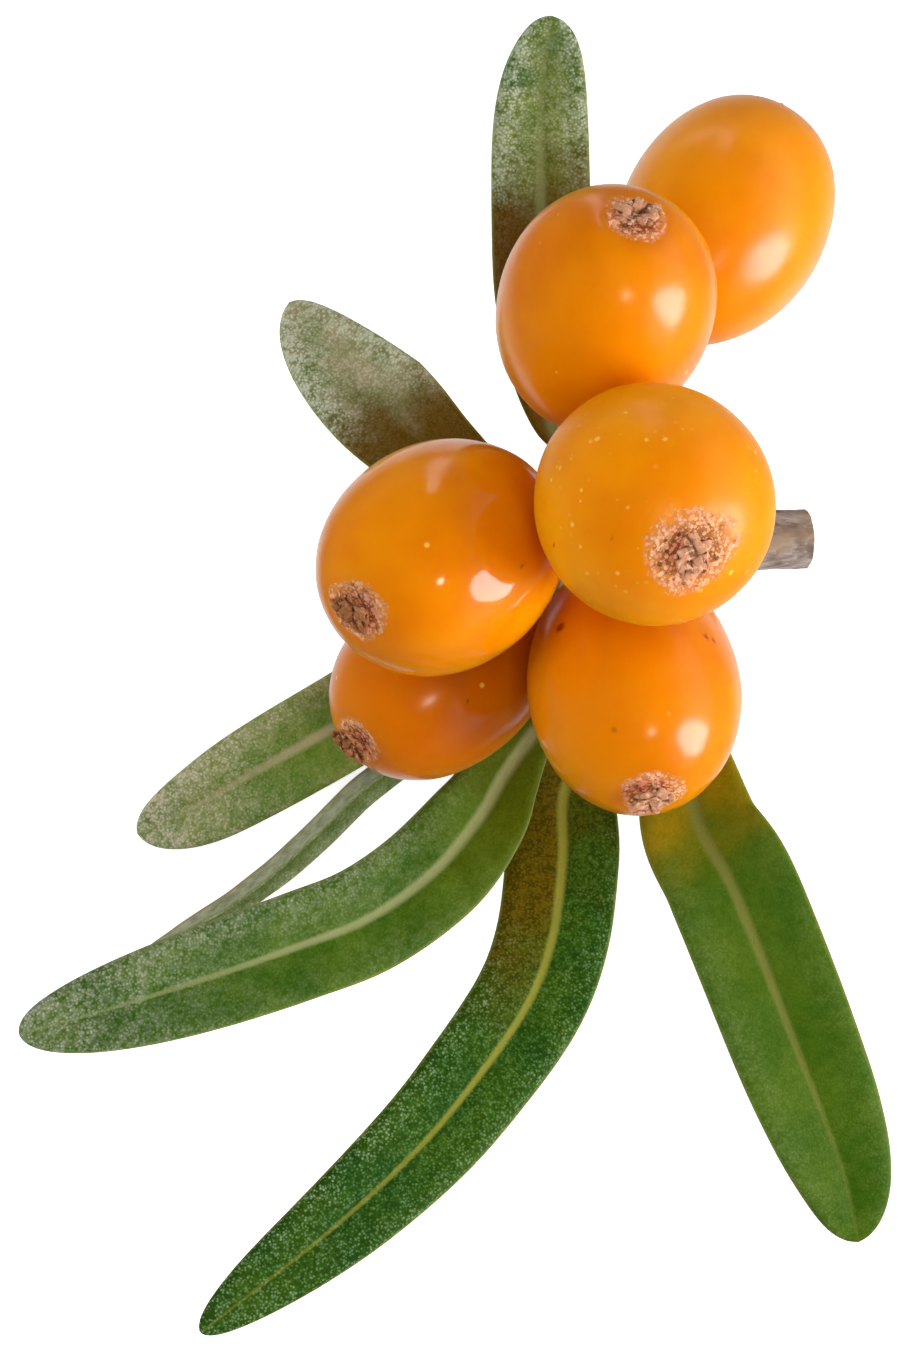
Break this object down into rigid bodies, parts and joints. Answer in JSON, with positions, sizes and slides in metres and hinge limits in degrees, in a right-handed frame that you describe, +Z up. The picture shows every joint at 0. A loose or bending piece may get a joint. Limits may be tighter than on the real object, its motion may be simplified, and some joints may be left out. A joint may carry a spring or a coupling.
{
  "type": "sea buckthorn sprig",
  "caption": "Cut sprig of sea buckthorn with glossy oval berries clustered on a short twig among narrow leaves, lying on a surface.",
  "frame": {"origin": "on the surface that the sprig lies on, under the middle of its bounding box", "axes": "+Z up, away from the surface; +Y towards the tip of the leaf opposite the longest leaf; +X towards the cut end of the twig"},
  "size_m": [0.0321, 0.0481, 0.0203],
  "materials": {
    "berry_skin": "gloss",
    "dried_flower": "matte",
    "berry_stalk": "satin",
    "leaf_blade": "satin",
    "bark": "matte"
  },
  "bodies": {
    "root": {"twig": "bark", "berry_front": "berry_skin", "berry_upper": "berry_skin", "berry_left": "berry_skin", "berry_lower_right": "berry_skin", "berry_lower_left": "berry_skin", "berry_back": "berry_skin", "dried_tip_front": "dried_flower", "dried_tip_upper": "dried_flower", "dried_tip_left": "dried_flower", "dried_tip_lower_right": "dried_flower", "dried_tip_lower_left": "dried_flower", "dried_tip_back": "dried_flower", "stalk_front": "berry_stalk", "stalk_upper": "berry_stalk", "stalk_left": "berry_stalk", "stalk_lower_right": "berry_stalk", "stalk_lower_left": "berry_stalk", "stalk_back": "berry_stalk", "leaf_top": "leaf_blade", "leaf_left_upper": "leaf_blade", "leaf_left_lower": "leaf_blade", "leaf_narrow": "leaf_blade", "leaf_big_left": "leaf_blade", "leaf_center": "leaf_blade", "leaf_right": "leaf_blade"}
  },
  "joints": []
}
